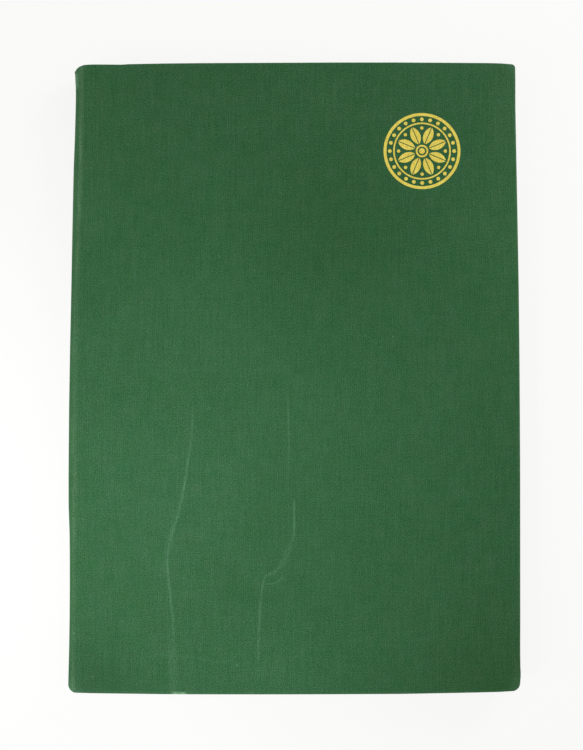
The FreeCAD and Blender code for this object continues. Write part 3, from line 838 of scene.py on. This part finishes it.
def spine_strip():
    sh = Sheet()
    x0, x1 = X0 + 0.45, X0 + 1.88
    prof = [(x0, 3.75), (x0, 18.25), (x0 + 0.25, 18.5), (x1 - 0.25, 18.5), (x1, 18.25), (x1, 3.75), (x1 - 0.25, 3.5), (x0 + 0.25, 3.5)]
    ys = [-153.6, -153.2] + list(np.linspace(-150, 150, 61)) + [152.2, 152.6]
    rings = []
    for k, y in enumerate(ys):
        f = 0.9 if k in (0, len(ys) - 1) else 1.0
        rings.append([sh.add(eased(((x0 + x1) / 2 + (x - (x0 + x1) / 2) * f, y, T / 2 + (z - T / 2) * (0.5 + 0.5 * f)), True)) for x, z in prof])
    n = len(prof)
    for a, b in zip(rings, rings[1:]):
        for k in range(n):
            sh.face(a[k], b[k], b[(k + 1) % n], a[(k + 1) % n])
    sh.face(*rings[0])
    sh.face(*rings[-1][::-1])
    ob = sh.object("spine_board_strip", "board", flip=True)
    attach(ob, "spine")
    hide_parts("spine_strip")


spine_strip()


# ------------------------------------------------------------------ headbands: thread wound on a core, with a glued tail
def headband(sign):
    sh = Sheet()
    cx, cy, r = -108.8, sign * 155.05, 0.93
    z0, z1 = 4.2, 17.8
    n = 20
    zs = np.linspace(z0, z1, 169)
    g = []
    for z in zs:
        end = min(z - z0, z1 - z)
        k = min(1.0, math.sqrt(max(end, 0.004) / 0.5) if end < 0.5 else 1.0)
        g.append([sh.add((cx + r * k * (1 + 0.055 * math.cos(2 * math.pi * (z / 0.65 + 0.12 * math.sin(t)))) * math.cos(t),
                          cy + r * k * (1 + 0.055 * math.cos(2 * math.pi * (z / 0.65 + 0.12 * math.sin(t)))) * math.sin(t), z))
                  for t in np.linspace(0, 2 * math.pi, n, endpoint=False)])
    for a, b in zip(g, g[1:]):
        for k in range(n):
            sh.face(a[k], a[(k + 1) % n], b[(k + 1) % n], b[k])
    sh.face(*g[0][::-1])
    sh.face(*g[-1])
    flap = [(-109.60, 155.6), (-110.0, 155.5), (-110.24, 155.1), (-110.27, 154.2), (-110.27, 149.8), (-110.05, 149.8), (-110.05, 154.0), (-109.85, 154.6)]
    zz = np.linspace(z0 + 0.1, z1 - 0.1, 15)
    h = [[sh.add((x, sign * y, z)) for x, y in flap] for z in zz]
    m = len(flap)
    for a, b in zip(h, h[1:]):
        for k in range(m):
            q = (a[k], b[k], b[(k + 1) % m], a[(k + 1) % m])
            sh.face(*(q if sign > 0 else q[::-1]))
    sh.face(*(h[0] if sign > 0 else h[0][::-1]))
    sh.face(*(h[-1][::-1] if sign > 0 else h[-1]))
    node = "headband" if sign > 0 else "tailband"
    ob = sh.object(node + "_wound", "band", sharp=60)
    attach(ob, "spine")
    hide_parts(node)


headband(1)
headband(-1)


# ------------------------------------------------------------------ pocket strips: glued along the foot, standing a little open at the top
def pocket_strips(k):
    sh = Sheet()
    lo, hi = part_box(f"leaf_{k}_pockets")
    x0, x1 = lo.x / MM, hi.x / MM
    xs = np.concatenate([[x0, x0 + 1.5], np.linspace(x0 + 6, x1 - 6, 11), [x1 - 1.5, x1]])
    ts = [0.0, 0.06, 0.2, 0.45, 0.75, 0.94, 1.0]
    rng = np.random.default_rng(40 + k)
    z = LEAF_Z[k - 1]
    for side in (1, -1):
        for j in range(9):
            y0 = -155.0 + 8.0 + j * 33.5
            ph, amp = rng.uniform(0, 6.28), rng.uniform(0.6, 1.0)
            lay = {}
            for s in (0, 1):
                for a, x in enumerate(xs):
                    hold = min(1.0, (x - x0) / 8.0, (x1 - x) / 8.0)
                    for b, t in enumerate(ts):
                        lift = 0.012 + (0.062 * amp * max(hold, 0.0) * math.sin(math.pi * min(t, 0.78) / 1.56) ** 2
                                        * (0.75 + 0.25 * math.sin(x * 0.07 + ph)))
                        lay[s, a, b] = sh.add((x, y0 + 26.0 * t, z + side * (0.4 + lift + 0.025 * s)))
            for a in range(len(xs) - 1):
                for b in range(len(ts) - 1):
                    q = (lay[1, a, b], lay[1, a + 1, b], lay[1, a + 1, b + 1], lay[1, a, b + 1])
                    p = (lay[0, a, b], lay[0, a, b + 1], lay[0, a + 1, b + 1], lay[0, a + 1, b])
                    for f in (q, p):
                        sh.face(*(f if side > 0 else f[::-1]))
            rim = [(a, 0) for a in range(len(xs))] + [(len(xs) - 1, b) for b in range(1, len(ts))]
            rim += [(a, len(ts) - 1) for a in range(len(xs) - 2, -1, -1)] + [(0, b) for b in range(len(ts) - 2, 0, -1)]
            for p, q in zip(rim, rim[1:] + rim[:1]):
                f = (lay[0, *p], lay[0, *q], lay[1, *q], lay[1, *p])
                sh.face(*(f if side > 0 else f[::-1]))
    ob = sh.object(f"leaf_{k}_pocket_strips", "strip", sharp=60)
    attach(ob, f"leaf_{k}")
    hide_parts(f"leaf_{k}_pockets")


for k in range(1, N_LEAVES + 1):
    pocket_strips(k)

# ------------------------------------------------------------------ stage, light and camera
floor_mesh = bpy.data.meshes.new("floor")
floor_mesh.from_pydata([(-40, -40, 0), (40, -40, 0), (40, 40, 0), (-40, 40, 0)], [], [(0, 1, 2, 3)])
floor = bpy.data.objects.new("floor", floor_mesh)
scene.collection.objects.link(floor)
floor.location.z = -0.0002
g = Graph("pale_floor")
g.set(Base_Color=(0.16, 0.16, 0.16), Roughness=0.9, Specular_IOR_Level=0.05, Emission_Color=(1.0, 0.996, 0.986, 1.0), Emission_Strength=0.835)
floor.data.materials.append(g.mat)

world = bpy.data.worlds.new("studio")
scene.world = world
world.use_nodes = True
world.node_tree.nodes["Background"].inputs[0].default_value = (0.98, 0.99, 1.0, 1.0)
sky = world.node_tree                      # brighter towards the horizon, as a lit studio wall is
toward = sky.nodes.new("ShaderNodeTexCoord").outputs["Generated"]
parts = sky.nodes.new("ShaderNodeSeparateXYZ")
level = sky.nodes.new("ShaderNodeMapRange")
level.interpolation_type = "SMOOTHSTEP"
for k, value in zip(("From Min", "From Max", "To Min", "To Max"), (0.04, 0.32, 0.95, 0.515)):
    level.inputs[k].default_value = value
sky.links.new(toward, parts.inputs[0])
sky.links.new(parts.outputs[2], level.inputs["Value"])
sky.links.new(level.outputs[0], sky.nodes["Background"].inputs[1])


def softbox(name, place, aim, size, watts, colour=(1, 1, 1)):
    d = bpy.data.lights.new(name, "AREA")
    d.shape, d.size, d.energy, d.color = "DISK", size, watts, colour
    o = bpy.data.objects.new(name, d)
    o.location = place
    o.rotation_euler = (Vector(aim) - Vector(place)).to_track_quat("-Z", "Y").to_euler()
    o.visible_camera = False
    scene.collection.objects.link(o)


softbox("key", (-1.00, -0.55, 1.15), (0.0, 0.0, 0.0), 0.80, 3.2)
softbox("fill", (0.50, 0.50, 0.48), (0.10, 0.14, 0.0), 0.40, 1.8)

pool = bpy.data.lights.new("pool", "SPOT")
pool.energy, pool.spot_size, pool.spot_blend, pool.shadow_soft_size = 45.0, math.radians(16.5), 1.0, 0.10
pool_at = bpy.data.objects.new("pool", pool)
pool_at.location = (-0.62, -0.46, 1.15)
pool_at.rotation_euler = (Vector((-0.098, -0.080, 0.022)) - pool_at.location).to_track_quat("-Z", "Y").to_euler()
pool_at.visible_camera = False
scene.collection.objects.link(pool_at)

cam_data = bpy.data.cameras.new("camera")
cam_data.lens, cam_data.sensor_width = 74.06, 36.0
cam_data.clip_start, cam_data.clip_end = 0.01, 50
camera = bpy.data.objects.new("camera", cam_data)
camera.location = (-0.00319, -0.04790, 0.800)
camera.rotation_euler = tuple(math.radians(a) for a in (3.499, -0.113, -0.047))
scene.collection.objects.link(camera)
scene.camera = camera
scene.view_settings.view_transform = "Standard"
